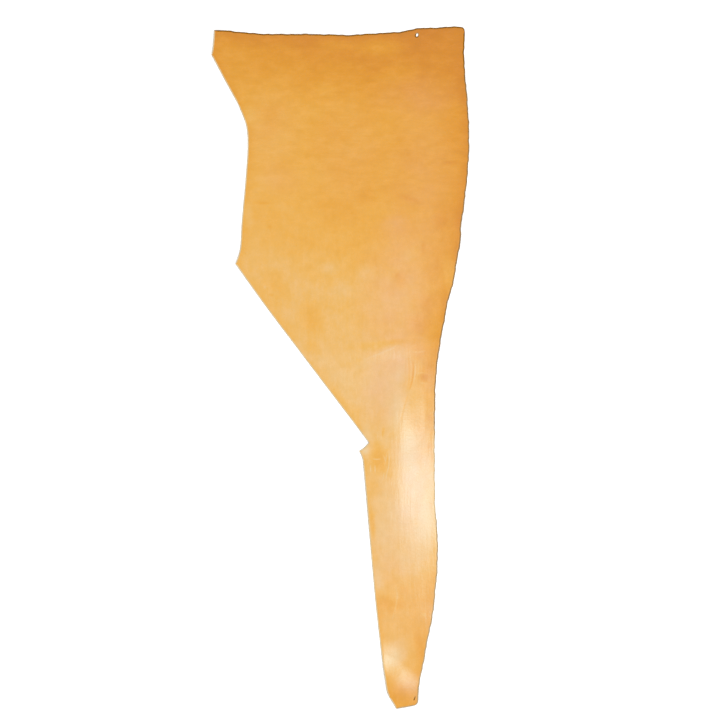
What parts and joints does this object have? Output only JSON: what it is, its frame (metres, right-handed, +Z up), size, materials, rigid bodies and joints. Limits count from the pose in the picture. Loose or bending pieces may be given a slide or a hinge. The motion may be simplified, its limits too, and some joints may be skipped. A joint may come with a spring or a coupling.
{
  "type": "vegetable-tanned leather belly hide",
  "caption": "Flat piece of vegetable-tanned cowhide, broad at one end and narrowing to a long leg strip, with raw and knife-cut edges and a hanging hole.",
  "frame": {"origin": "on the surface that the hide lies on, under the middle of its box", "axes": "+Y along the hide towards its broad end, +X across it towards the belly's raw edge, +Z up out of the grain side"},
  "size_m": [0.5544, 1.4666, 0.0083],
  "materials": {
    "leather": "undyed natural tan, smooth grain with a soft sheen, pale suede flesh side"
  },
  "bodies": {
    "root": {"hide": "leather"}
  },
  "joints": []
}
